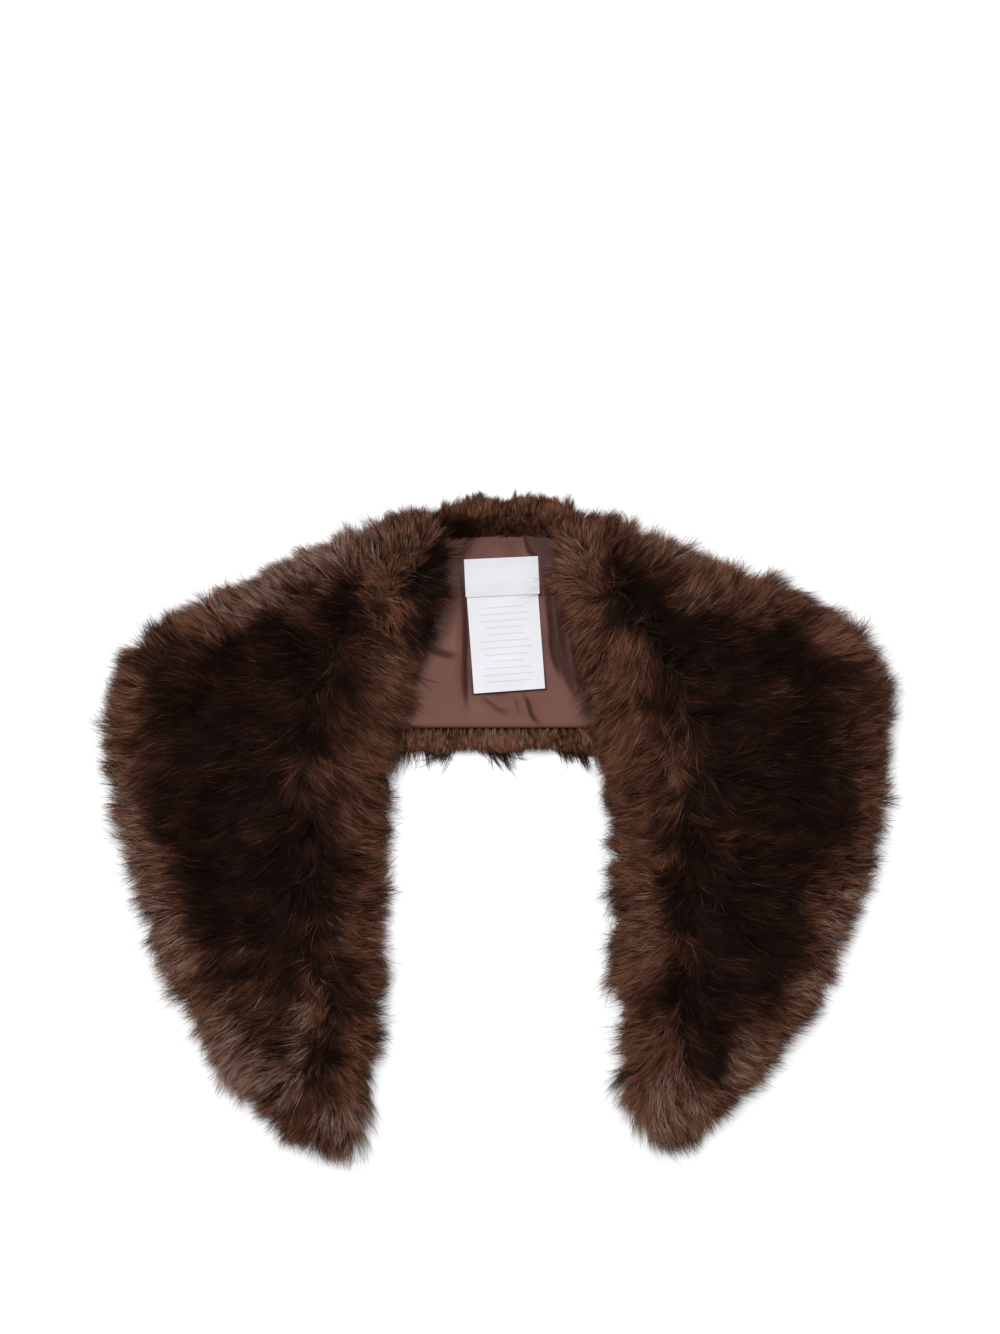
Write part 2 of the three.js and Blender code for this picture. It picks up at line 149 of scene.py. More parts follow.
RIGHT_PATCHES = [
    (58, 188, 20, 42, 0, 0.18), (122, 206, 34, 10, -25, 0.26), (138, 163, 22, 9, -10, 0.28),
    (119, 58, 20, 36, 0, 0.18), (90, 105, 16, 32, 0, 0.1), (169, 181, 25, 14, -15, 0.12),
    (241, 138, 28, 18, -20, 0.1), (198, 98, 13, 9, 0, 0.1), (169, -17, 25, 14, 0, 0.13),
    (254, -71, 16, 34, -20, 0.26), (227, -115, 20, 20, -30, 0.2), (162, -100, 14, 7, 0, 0.2),
    (180, -165, 13, 26, -10, 0.28), (126, -195, 36, 33, 0, 0.26), (97, -68, 18, 44, 0, 0.2),
    (272, 30, 14, 60, 0, 0.06), (104, 165, 13, 34, 40, -0.32), (130, 128, 20, 12, -30, -0.2),
    (205, 130, 9, 25, 0, -0.14), (133, -64, 13, 26, 0, -0.18), (137, -136, 10, 16, 0, -0.22),
    (163, -172, 7, 20, 10, -0.34),
]

# Where the pile is longer or shorter than elsewhere: the place and how far round it in
# millimetres, and the share that is added.
LEFT_LENGTHS = [
    (-236, -120, 26, 0.35), (-268, -20, 50, 0.16), (-205, -185, 45, 0.16), (-285, 90, 40, 0.1),
    (-54, 226, 20, 0.4), (-84, -40, 55, -0.25), (-95, -160, 40, -0.22), (-80, -112, 20, -0.5),
    (-70, 36, 28, -0.45), (-97, -225, 15, 0.3),
]
RIGHT_LENGTHS = [
    (266, 136, 22, 0.6), (84, -188, 14, 0.4), (282, 40, 55, -0.16), (255, -70, 60, -0.14),
    (80, -30, 70, -0.25), (86, -130, 24, -0.3), (150, -225, 30, -0.3), (70, 30, 30, -0.3),
    (50, 232, 18, -0.5),
]

# The three kinds of hair on a front: the name's ending, how many, the points from root to tip, how
# much lighter it is, and whether it stands only at the edges.
FRONT_HAIR = (
    ("", 52000, 3, 0.0, False),
    ("_long", 39000, 4, 0.07, False),
    ("_edge", 20000, 4, 0.0, True),
)

# The labels as the frame's nodes have them: the middle of the upper edge, the width and the length
# in millimetres, and the turn in degrees. Rules is how many rows of plain rules would fill its
# length, and tint how light its ribbon is.
LABELS = {
    "main_label": {"top": (0.7, 193.3), "width": 53.4, "length": 27.4, "turn": 2.6, "rules": 0, "tint": 0.93},
    "care_label": {"top": (1.5, 170.0), "width": 51.4, "length": 73.0, "turn": 4.2, "rules": 15, "tint": 1.0},
}


class WrapFurSettings(bpy.types.PropertyGroup):
    """Sizes of the fur, and the seed of its random draws."""

    length: FloatProperty(
        name="Hair length", description="Length of a hair above the underfur",
        default=0.022, min=0.005, max=0.06, unit="LENGTH")
    width: FloatProperty(
        name="Hair width", description="Width of a hair near its root",
        default=0.00046, min=0.0001, max=0.002, unit="LENGTH")
    underfur: FloatProperty(
        name="Underfur depth", description="How far the underfur stays inside the pile",
        default=0.009, min=0.002, max=0.015, unit="LENGTH")
    lock: FloatProperty(
        name="Lock spacing", description="Distance between large locks",
        default=0.021, min=0.005, max=0.06, unit="LENGTH")
    tuft: FloatProperty(
        name="Tuft spacing", description="Distance between tufts",
        default=0.0075, min=0.002, max=0.02, unit="LENGTH")
    wisp: FloatProperty(
        name="Wisp spacing", description="Distance between the wisps that a few hairs form",
        default=0.0017, min=0.001, max=0.01, unit="LENGTH")
    spike: FloatProperty(
        name="Spike spacing", description="Distance between the pointed tufts along the edges",
        default=0.0042, min=0.002, max=0.02, unit="LENGTH")
    seed: IntProperty(name="Seed", description="Seed of the fur's random draws", default=7)


class WrapClothSettings(bpy.types.PropertyGroup):
    """Sizes and colours of the lining and the labels."""

    satin: FloatVectorProperty(
        name="Lining", description="Colour of the satin lining", subtype="COLOR",
        size=3, min=0, max=1, default=(0.127, 0.0545, 0.041))
    ribbon: FloatVectorProperty(
        name="Labels", description="Colour of the label ribbon", subtype="COLOR",
        size=3, min=0, max=1, default=(0.595, 0.59, 0.62))
    lining_wall: FloatProperty(
        name="Lining thickness", description="Thickness of the lining",
        default=0.0008, min=0.0002, max=0.002, unit="LENGTH")
    ribbon_wall: FloatProperty(
        name="Ribbon thickness", description="Thickness of a label",
        default=0.0005, min=0.0002, max=0.002, unit="LENGTH")


class WrapStudioSettings(bpy.types.PropertyGroup):
    """Camera and lights."""

    scale: FloatProperty(
        name="Millimetres a pixel", description="Scale of the picture at the middle of the pile",
        default=0.72, min=0.1, max=5)
    lens: FloatProperty(
        name="Lens", description="Focal length", default=85, min=20, max=300, unit="CAMERA")
    key: FloatProperty(
        name="Key light", description="Power of the large soft light", default=82, min=0,
        max=1000, unit="POWER")


# Shader maths


class Value:
    """A socket of a finish, so that shader maths can be written as an expression."""

    def __init__(self, finish, socket):
        self.finish = finish
        self.socket = socket

    def __add__(self, other):
        return self.finish.maths("ADD", self, other)

    __radd__ = __add__

    def __sub__(self, other):
        return self.finish.maths("SUBTRACT", self, other)

    def __rsub__(self, other):
        return self.finish.maths("SUBTRACT", other, self)

    def __mul__(self, other):
        return self.finish.maths("MULTIPLY", self, other)

    __rmul__ = __mul__


class Finish:
    """One material, with the maths and the other nodes that it is made of."""

    def __init__(self, name):
        self.material = bpy.data.materials.new(name)
        self.material.use_nodes = True
        self.tree = self.material.node_tree
        self.tree.nodes.clear()

    def node(self, kind, settings=None, inputs=None, output=0):
        """Add a node with its settings and inputs, and give the output that is asked for."""
        made = self.tree.nodes.new(kind)
        for key, value in (settings or {}).items():
            setattr(made, key, value)
        for key, value in (inputs or {}).items():
            if isinstance(value, Value):
                self.tree.links.new(value.socket, made.inputs[key])
            else:
                made.inputs[key].default_value = value
        return Value(self, made.outputs[output]) if len(made.outputs) else None

    def maths(self, operation, first, second=0.0):
        return self.node("ShaderNodeMath", {"operation": operation}, {0: first, 1: second})

    def noise(self, place, scale, detail=3.0, roughness=0.5):
        return self.node(
            "ShaderNodeTexNoise", None,
            {"Vector": place, "Scale": scale, "Detail": detail, "Roughness": roughness})

    def ramp(self, value, *stops):
        """A colour ramp: each stop is a place and a colour."""
        made = self.node("ShaderNodeValToRGB", None, {"Fac": value})
        elements = made.socket.node.color_ramp.elements
        while len(elements) < len(stops):
            elements.new(1.0)
        for element, (place, colour) in zip(elements, stops):
            element.position = place
            element.color = (*colour, 1.0)
        return made

    def mix(self, share, first, second, blend="MIX"):
        settings = {"data_type": "RGBA", "blend_type": blend}
        return self.node("ShaderNodeMix", settings, {0: share, 6: first, 7: second}, 2)

    def bump(self, height, strength, distance):
        return self.node(
            "ShaderNodeBump", None, {"Height": height, "Strength": strength, "Distance": distance})

    def place(self):
        return self.node("ShaderNodeTexCoord", None, None, "Object")

    def uv_parts(self, name):
        """The two parts of a UV map."""
        spot = self.node("ShaderNodeUVMap", {"uv_map": name})
        return [self.node("ShaderNodeSeparateXYZ", None, {0: spot}, part) for part in (0, 1)]

    def threads(self, place, scale):
        """Fine noise that is drawn out along the threads of a cloth."""
        stretched = self.node("ShaderNodeMapping", None, {"Vector": place, "Scale": scale})
        return self.noise(stretched, 1.0, 2.0)

    def surface(self, inputs):
        shader = self.node("ShaderNodeBsdfPrincipled", None, inputs)
        self.node("ShaderNodeOutputMaterial", None, {"Surface": shader})
        return self.material


def grey(level):
    """A colour with all three channels at one level."""
    return (level, level, level)


def fur_finish():
    """Hair: its tone runs across the UV map, from black brown to silver, and its length up it. The silver end
    is partly lighter hair and partly painted sheen.
    """
    finish = Finish("fur_hair")
    tone, along = finish.uv_parts(UV_NAME)
    hair = finish.ramp(
        tone,
        (0.0, (0.006, 0.0026, 0.0018)),
        (0.2, (0.0145, 0.006, 0.0038)),
        (0.4, (0.044, 0.0165, 0.0092)),
        (0.6, (0.112, 0.042, 0.0215)),
        (0.8, (0.205, 0.087, 0.051)),
        (0.92, (0.29, 0.185, 0.14)),
        (1.0, (0.42, 0.335, 0.3)),
    )
    length = finish.ramp(
        along, (0.0, grey(0.25)), (0.45, grey(0.75)), (0.8, grey(1.0)), (1.0, grey(0.82)))
    colour = finish.mix(1.0, hair, length, "MULTIPLY")
    return finish.surface({"Base Color": colour, "Roughness": 0.62, "Specular IOR Level": 0.06})


def underfur_finish():
    """The dark short fur that shows between the hairs."""
    finish = Finish("fur_underfur")
    place = finish.place()
    patches = finish.noise(place, 60.0)
    colour = finish.ramp(patches, (0.35, (0.008, 0.0045, 0.0032)), (0.7, (0.03, 0.016, 0.011)))
    strands = finish.noise(place, 900.0, 2.0)
    return finish.surface({
        "Base Color": colour, "Roughness": 0.9, "Specular IOR Level": 0.1,
        "Normal": finish.bump(strands, 0.8, 0.002)})


def fur_materials():
    """The hair's and the underfur's materials, each made when it is first asked for."""
    hair = bpy.data.materials.get("fur_hair") or fur_finish()
    underfur = bpy.data.materials.get("fur_underfur") or underfur_finish()
    return hair, underfur


def backing_finish():
    """The knitted backing that the fur is rooted in."""
    finish = Finish("fur_backing")
    place = finish.place()
    rows = finish.node(
        "ShaderNodeTexWave", {"bands_direction": "Y"}, {"Vector": place, "Scale": 160.0})
    tone = finish.noise(place, 25.0)
    colour = finish.ramp(tone, (0.3, (0.03, 0.018, 0.013)), (0.7, (0.045, 0.028, 0.02)))
    return finish.surface({
        "Base Color": colour, "Roughness": 0.85, "Normal": finish.bump(rows, 0.4, 0.0004)})


def satin_finish(colour):
    """Satin: the attribute fold is painted shade and painted highlight, which darkens the hollow beside a
    crease, lightens its crest and darkens the lining near the fur and the labels.
    """
    finish = Finish("lining_satin")
    place = finish.place()
    patches = finish.noise(place, 22.0)
    fold = finish.node("ShaderNodeAttribute", {"attribute_name": "fold"}, None, 2)
    tone = finish.ramp(
        fold + 0.2 * patches, (0.0, (0.2, 0.15, 0.14)), (0.3, (0.6, 0.54, 0.54)), (0.56, grey(0.98)),
        (1.0, grey(1.3)))
    threads = finish.threads(place, (3000.0, 260.0, 260.0))
    tint = finish.mix(1.0, (*colour, 1.0), tone, "MULTIPLY")
    return finish.surface({
        "Base Color": tint,
        "Roughness": 0.52 + 0.08 * threads,
        "Anisotropic": 0.3,
        "Specular IOR Level": 0.14,
        "Normal": finish.bump(threads, 0.12, 0.0003)})


def ribbon_finish(name, colour, rules):
    """Woven ribbon. Its UV map runs across it and down it; rules are thin plain grey lines."""
    finish = Finish(name)
    place = finish.place()
    threads = finish.threads(place, (400.0, 3500.0, 400.0))
    tone = finish.ramp(finish.noise(place, 40.0), (0.3, grey(0.96)), (0.7, grey(1.0)))
    tint = finish.mix(1.0, (*colour, 1.0), tone, "MULTIPLY")
    across, down = finish.uv_parts("ribbon")
    row = finish.maths("FLOOR", down * rules)
    inside = finish.maths("ABSOLUTE", down * rules - row - 0.5)
    reach = finish.maths("ABSOLUTE", finish.maths("SINE", row * 2.4 + 1.0)) * 0.17 + 0.2
    line = finish.maths("LESS_THAN", inside, 0.1) * finish.maths(
        "LESS_THAN", finish.maths("ABSOLUTE", across - 0.5), reach)
    line = line * finish.maths("GREATER_THAN", down, 0.14) * finish.maths("LESS_THAN", down, 0.93)
    shade = finish.mix(line * 0.4, tint, (0.34, 0.34, 0.36, 1.0))
    return finish.surface({
        "Base Color": shade, "Roughness": 0.45,
        "Normal": finish.bump(threads, 0.15, 0.0003)})


# Shapes


def smoothstep(value, low, high):
    """A share that rises smoothly from 0 at low to 1 at high."""
    share = np.clip((value - low) / (high - low), 0.0, 1.0)
    return share * share * (3.0 - 2.0 * share)


def unit(vectors):
    """The same ways, each with a length of 1."""
    return vectors / np.maximum(np.linalg.norm(vectors, axis=-1, keepdims=True), 1e-9)


def points_of(obj, kind="co"):
    """An object's points, one row each, or with kind "normal" the ways out of it at its points."""
    rows = np.empty(len(obj.data.vertices) * 3)
    obj.data.vertices.foreach_get(kind, rows)
    return rows.reshape(-1, 3)


def move_points(obj, points):
    obj.data.vertices.foreach_set("co", points.ravel())
    obj.data.update()


def reach_across(name, axis, count):
    """How far a frame node reaches across an axis, at places along it: places, low and high."""
    node = bpy.data.objects[name]
    points = points_of(node)
    ends = np.empty(len(node.data.edges) * 2, dtype=np.int32)
    node.data.edges.foreach_get("vertices", ends)
    first, second = points[ends[::2]], points[ends[1::2]]
    places = np.linspace(points[:, axis].min(), points[:, axis].max(), count + 2)[1:-1]
    low, high = [], []
    for place in places:
        over = first[:, axis] - place
        under = second[:, axis] - place
        crosses = over * under < 0
        share = over[crosses] / (over[crosses] - under[crosses])
        spot = first[crosses, 1 - axis] * (1 - share) + second[crosses, 1 - axis] * share
        low.append(spot.min())
        high.append(spot.max())
    return places, np.array(low), np.array(high)


def tree_over(name):
    """A frame node's faces, ready to be probed."""
    node = bpy.data.objects[name]
    mesh = bmesh.new()
    mesh.from_mesh(node.data)
    tree = BVHTree.FromBMesh(mesh)
    mesh.free()
    return tree


def select_only(obj):
    bpy.ops.object.select_all(action="DESELECT")
    obj.select_set(True)
    bpy.context.view_layer.objects.active = obj


def apply_modifier(obj, kind, **settings):
    select_only(obj)
    modifier = obj.modifiers.new(kind.title(), kind)
    for key, value in settings.items():
        setattr(modifier, key, value)
    bpy.ops.object.modifier_apply(modifier=modifier.name)


def finish_piece(obj, material, slot, *nodes):
    """Give a piece its material, its body and the frame nodes that it replaces; slot is not used."""
    obj.data.materials.clear()
    obj.data.materials.append(material)
    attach(obj, BODY)
    if nodes:
        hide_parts(*nodes)
    return obj


def flat_grid(name, columns, rows):
    """A grid, and each of its points' shares across and up it."""
    bpy.ops.object.select_all(action="DESELECT")
    bpy.ops.mesh.primitive_grid_add(x_subdivisions=columns, y_subdivisions=rows, size=2)
    grid = bpy.context.active_object
    grid.name = name
    grid.data.name = name
    points = points_of(grid)
    return grid, points, (points[:, 0] + 1) / 2, (points[:, 1] + 1) / 2


def wall(obj, thickness):
    """Give a flat grid its thickness, below the grid."""
    apply_modifier(obj, "SOLIDIFY", thickness=thickness, offset=-1, use_even_offset=True)
    select_only(obj)
    bpy.ops.object.shade_smooth_by_angle(angle=math.radians(50))


# Fur


def lattice(column, row, seed):
    """A number from 0 to 1 for each cell, the same on each run."""
    mixed = (column * 374761393 + row * 668265263 + seed * 974634777) & 0xFFFFFFFF
    mixed = ((mixed ^ (mixed >> 13)) * 1274126177) & 0xFFFFFFFF
    mixed = ((mixed ^ (mixed >> 16)) * 2246822519) & 0xFFFFFFFF
    return ((mixed >> 8) & 0xFFFF) / 65535.0


def drift(x, y, scale, seed):
    """Smooth noise from -1 to 1 with features of a size."""
    column, row = np.floor(x / scale), np.floor(y / scale)
    across, up = x / scale - column, y / scale - row
    across, up = across * across * (3 - 2 * across), up * up * (3 - 2 * up)
    column, row = column.astype(np.int64), row.astype(np.int64)
    lower = lattice(column, row, seed) * (1 - across) + lattice(column + 1, row, seed) * across
    upper = lattice(column, row + 1, seed) * (1 - across) + lattice(column + 1, row + 1, seed) * across
    return 2 * (lower * (1 - up) + upper * up) - 1


def nearest_lock(x, y, spacing, seed):
    """The middle of the nearest lock to each point, and two numbers that the lock has."""
    column = np.floor(x / spacing).astype(np.int64)
    row = np.floor(y / spacing).astype(np.int64)
    best = np.full(x.shape, np.inf)
    middle_x, middle_y = np.zeros_like(x), np.zeros_like(y)
    one, two = np.zeros_like(x), np.zeros_like(x)
    for step_x in (-1, 0, 1):
        for step_y in (-1, 0, 1):
            cell_x, cell_y = column + step_x, row + step_y
            at_x = (cell_x + lattice(cell_x, cell_y, seed)) * spacing
            at_y = (cell_y + lattice(cell_x, cell_y, seed + 1)) * spacing
            away = (at_x - x) ** 2 + (at_y - y) ** 2
            nearer = away < best
            best = np.where(nearer, away, best)
            middle_x, middle_y = np.where(nearer, at_x, middle_x), np.where(nearer, at_y, middle_y)
            one = np.where(nearer, lattice(cell_x, cell_y, seed + 2), one)
            two = np.where(nearer, lattice(cell_x, cell_y, seed + 3), two)
    return middle_x, middle_y, one, two


def roots_on(mound, count, rng, keep):
    """Points spread over a mound, with the way out of it, where keep says that hair shows."""
    mesh = mound.data
    mesh.calc_loop_triangles()
    corners = np.empty(len(mesh.loop_triangles) * 3, dtype=np.int32)
    mesh.loop_triangles.foreach_get("vertices", corners)
    corners = corners.reshape(-1, 3)
    points, normals = points_of(mound), points_of(mound, "normal")
    origin = points[corners[:, 0]]
    sides = np.cross(points[corners[:, 1]] - origin, points[corners[:, 2]] - origin)
    area = np.linalg.norm(sides, axis=1)
    middles = points[corners].mean(axis=1)
    area = area * keep(middles, sides / np.maximum(area, 1e-12)[:, None])
    chosen = rng.choice(len(area), size=count, p=area / area.sum())
    first, second = rng.random(count), rng.random(count)
    fold = first + second > 1
    first, second = np.where(fold, 1 - first, first), np.where(fold, 1 - second, second)
    shares = np.stack([1 - first - second, first, second], axis=1)[:, :, None]
    spots = (points[corners[chosen]] * shares).sum(axis=1)
    return spots, unit((normals[corners[chosen]] * shares).sum(axis=1))


def hair_mesh(name, lines, side, widths, tone):
    """One mesh of narrow leaves: lines holds each hair's points from root to tip, side the way
    across it, and widths half its width at the root."""
    count, stops = lines.shape[:2]
    per_hair = 2 * (stops - 1) + 1
    points = np.empty((count, per_hair, 3))
    for k in range(stops - 1):
        share = widths[:, None] * (1 - k / (stops - 1)) ** 0.7
        points[:, 2 * k] = lines[:, k] - side * share
        points[:, 2 * k + 1] = lines[:, k] + side * share
    points[:, -1] = lines[:, -1]
    corners, totals, across, along = [], [], [], []
    for k in range(stops - 2):
        corners += [2 * k, 2 * k + 1, 2 * k + 3, 2 * k + 2]
        across += [-1, 1, 1, -1]
        along += [k, k, k + 1, k + 1]
        totals.append(4)
    last = 2 * (stops - 2)
    corners += [last, last + 1, last + 2]
    across += [-1, 1, 0]
    along += [stops - 2, stops - 2, stops - 1]
    totals.append(3)
    loops = np.arange(count)[:, None] * per_hair + np.array(corners)[None, :]
    mesh = bpy.data.meshes.new(name)
    mesh.vertices.add(count * per_hair)
    mesh.vertices.foreach_set("co", points.ravel())
    mesh.loops.add(loops.size)
    mesh.loops.foreach_set("vertex_index", loops.ravel().astype(np.int32))
    faces = np.tile(np.array(totals), count)
    mesh.polygons.add(len(faces))
    mesh.polygons.foreach_set("loop_start", np.concatenate([[0], np.cumsum(faces)[:-1]]).astype(np.int32))
    uv = np.empty((count, len(corners), 2))
    uv[:, :, 0] = np.clip(tone, 0.01, 0.99)[:, None] + 0.008 * np.array(across)[None, :]
    uv[:, :, 1] = np.array(along)[None, :] / (stops - 1)
    mesh.uv_layers.new(name=UV_NAME).data.foreach_set("uv", uv.ravel())
    mesh.update(calc_edges=True)
    made = bpy.data.objects.new(name, mesh)
    bpy.context.scene.collection.objects.link(made)
    return made


def grow(name, roots, out, flow, length, lean, tone, spread, pale, rng, fur, stops, floor,
         clump=1.0, fine=1.0, edge=0.0, wild=1.0):
    """Hair from each root: out is the way out of the mound there, flow the way it lies, and lean
    how flat. Its tone differs from hair to hair by spread, and pale is the share of lighter hairs.
    It has as many points from root to tip as stops says, and none goes under floor. Locks, tufts
    and wisps draw its tips together by clump, and fine scales its width. Where edge is 1 it forms
    pointed tufts of uneven length, and wild is how much it strays."""
    x, y = roots[:, 0], roots[:, 1]
    lock_x, lock_y, lock_one, lock_two = nearest_lock(x, y, fur.lock, 11)
    tuft_x, tuft_y, tuft_one, tuft_two = nearest_lock(x, y, fur.tuft, 23)
    wisp_x, wisp_y, wisp_one, wisp_two = nearest_lock(x, y, fur.wisp, 29)
    spike_x, spike_y, spike_one, _ = nearest_lock(x, y, fur.spike, 37)
    turn = 0.6 * (lock_one - 0.5) + 0.4 * (tuft_one - 0.5) + 0.4 * drift(x, y, 0.034, 5)
    turn += 0.4 * (wisp_one - 0.5) + rng.normal(0.0, 0.12, len(x))
    turn *= wild
    spun = np.stack([
        flow[:, 0] * np.cos(turn) - flow[:, 1] * np.sin(turn),
        flow[:, 0] * np.sin(turn) + flow[:, 1] * np.cos(turn),
        np.full(len(x), -0.25)], axis=1)
    lie = unit(spun - out * (spun * out).sum(axis=1, keepdims=True))
    lean = lean + 0.22 * (lock_two - 0.5) + 0.22 * (tuft_two - 0.5) + 0.15 * (wisp_two - 0.5)
    lean += rng.normal(0, 0.06, len(x))
    length = length * (0.88 + 0.24 * lock_two) * (0.88 + 0.24 * tuft_one) * (0.82 + 0.36 * wisp_one)
    length = length * rng.uniform(0.68, 1.05, len(x)) * (1 + 0.9 * edge * (spike_one - 0.45))
    near_lining = (np.abs(x) < 0.085) & (y > 0.08)
    stray = (rng.random(len(x)) < STRAYS) & ~near_lining
    length = np.where(stray, length * 1.3, length)
    sideways = unit(np.cross(lie, out))
    curl = wild * (rng.normal(0.0, 0.16, len(x)) + 0.3 * (tuft_two - 0.5))
    lines = np.empty((len(x), stops, 3))
    lines[:, 0] = roots
    for k in range(1, stops):
        share = (k - 0.5) / (stops - 1)
        angle = lean + 0.75 * (share - 0.5)
        way = lie * np.sin(angle)[:, None] + out * np.cos(angle)[:, None]
        way = unit(way + sideways * (curl * (share - 0.3) * 2)[:, None])
        lines[:, k] = lines[:, k - 1] + way * (length / (stops - 1))[:, None]
    for k in range(1, stops):
        pull = clump * (k / (stops - 1)) ** 1.5 * np.where(stray, 0.3, 1.0)
        spiked = 0.75 * edge * pull
        lines[:, k, 0] += pull * (0.12 * (lock_x - x) + 0.26 * (tuft_x - x) + 0.5 * (wisp_x - x))
        lines[:, k, 1] += pull * (0.12 * (lock_y - y) + 0.26 * (tuft_y - y) + 0.5 * (wisp_y - y))
        lines[:, k, 0] += spiked * (spike_x - x)
        lines[:, k, 1] += spiked * (spike_y - y)
        lines[:, k, 2] = np.maximum(lines[:, k, 2], floor(lines[:, k, 0], lines[:, k, 1]))
        lines[:, k, 2] = np.minimum(lines[:, k, 2], CAD_BOX[1][2] + OVER_PILE)
    roll = rng.normal(0.0, 0.55, len(x))[:, None]
    side = sideways * np.cos(roll) + out * np.sin(roll)
    widths = 0.5 * fine * fur.width * rng.uniform(0.75, 1.25, len(x)) * np.where(stray, 0.7, 1.0)
    differs = 0.17 * (tuft_two - 0.5) + 0.12 * (lock_one - 0.5) + 0.5 * (wisp_two - 0.5)
    differs += rng.normal(0, 0.06, len(x))
    # Lighter hairs; their silver tones are partly lighter hair and partly painted sheen.
    lighter = rng.random(len(x)) < pale * (0.3 + 1.4 * smoothstep(wisp_two, 0.4, 0.6))
    tone = np.minimum(tone + spread * differs, BROWN_END)
    lightest = BROWN_END + 0.16 * np.maximum(smoothstep(pale, 0.11, 0.24), rng.random(len(x)) < 0.12)
    tone = np.where(lighter, np.minimum(tone + rng.uniform(0.2, 0.4, len(x)), lightest), tone)
    return hair_mesh(name, lines, side, widths, tone)


def mound_from(node, inset, lift):
    """The underfur: a frame node's form, drawn in by inset from its upper faces and its sides,
    and by lift from its underside."""
    source = bpy.data.objects[node]
    mound = bpy.data.objects.new(node.replace("fur", "underfur"), source.data.copy())
    bpy.context.scene.collection.objects.link(mound)
    select_only(mound)
    bpy.ops.object.mode_set(mode="EDIT")
    bpy.ops.mesh.select_all(action="SELECT")
    bpy.ops.mesh.remove_doubles(threshold=1e-5)
    bpy.ops.object.mode_set(mode="OBJECT")
    apply_modifier(mound, "REMESH", mode="VOXEL", voxel_size=UNDERFUR_GRAIN)
    apply_modifier(mound, "SMOOTH", factor=0.5, iterations=6)
    points, normals = points_of(mound), points_of(mound, "normal")
    points[:, :2] -= normals[:, :2] * inset
    points[:, 2] -= np.maximum(normals[:, 2], 0) * inset
    points[:, 2] = np.where(normals[:, 2] < -0.3, points[:, 2] + lift, points[:, 2])
    points[:, 2] = np.maximum(points[:, 2], 0.001)
    move_points(mound, points)
    select_only(mound)
    bpy.ops.object.shade_smooth()
    return mound


def toward(x, y, edge_x, edge_y):
    """The way from each point to an edge, and the distance to it."""
    step_x = edge_x[None, :] - x[:, None]
    step_y = edge_y[None, :] - y[:, None]
    away = np.maximum(np.hypot(step_x, step_y), 1e-4)
    weight = away ** -5
    way = np.stack([(step_x * weight).sum(axis=1), (step_y * weight).sum(axis=1)], axis=1)
    return unit(way), away.min(axis=1)


def above_ground(x, y):
    """The level that hair can't go under beside the lining: the table."""
    return np.full(x.shape, GROUND_CLEAR)


def above_lining(x, y):
    """The level that a front's hair can't go under: the lining where that is, or else the table."""
    low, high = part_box("lining_back")
    over = (np.abs(x) < 0.1) & (y > low[1] - 0.02) & (y < high[1] + 0.01)
    return np.where(over, high[2] - 0.0015, GROUND_CLEAR)


def away_from(x, y, parting):
    """The way away from a parting, which turns down along it close by, below the shoulder."""
    points = np.array(parting) * MM
    places = np.linspace(0, len(points) - 1, 60)
    line_x = np.interp(places, np.arange(len(points)), points[:, 0])
    line_y = np.interp(places, np.arange(len(points)), points[:, 1])
    step_x, step_y = x[:, None] - line_x[None, :], y[:, None] - line_y[None, :]
    weight = (step_x ** 2 + step_y ** 2 + 0.012 ** 2) ** -3.0
    total = weight.sum(axis=1)
    way = np.stack([(step_x * weight).sum(axis=1) / total, (step_y * weight).sum(axis=1) / total], axis=1)
    down = 0.45 * (1 - smoothstep(y, 0.1, 0.17))
    return unit(way / 0.014 + np.stack([np.zeros_like(down), -down], axis=1))


def patchwork(x, y, patches):
    """The change of tone that the lighter and darker places make, with ragged edges."""
    x, y = x / MM, y / MM
    x = x + 6 * drift(x, y, 17, 61) + 3 * drift(x, y, 6, 63)
    y = y + 6 * drift(x, y, 17, 65) + 3 * drift(x, y, 6, 67)
    change = np.zeros_like(x)
    for middle_x, middle_y, half_x, half_y, turn, tone in patches:
        cos, sin = math.cos(math.radians(turn)), math.sin(math.radians(turn))
        across = ((x - middle_x) * cos + (y - middle_y) * sin) / half_x
        up = ((y - middle_y) * cos - (x - middle_x) * sin) / half_y
        change += tone * (1 - smoothstep(np.hypot(across, up), 0.45, 1.25))
    return change


def front_edges(node):
    """A front's outer edge and inner edge, each as places across and up."""
    rows, low, high = reach_across(node, 1, 150)
    outer, inner = (low, high) if node.endswith("left") else (high, low)
    return (outer, rows), (inner, rows)


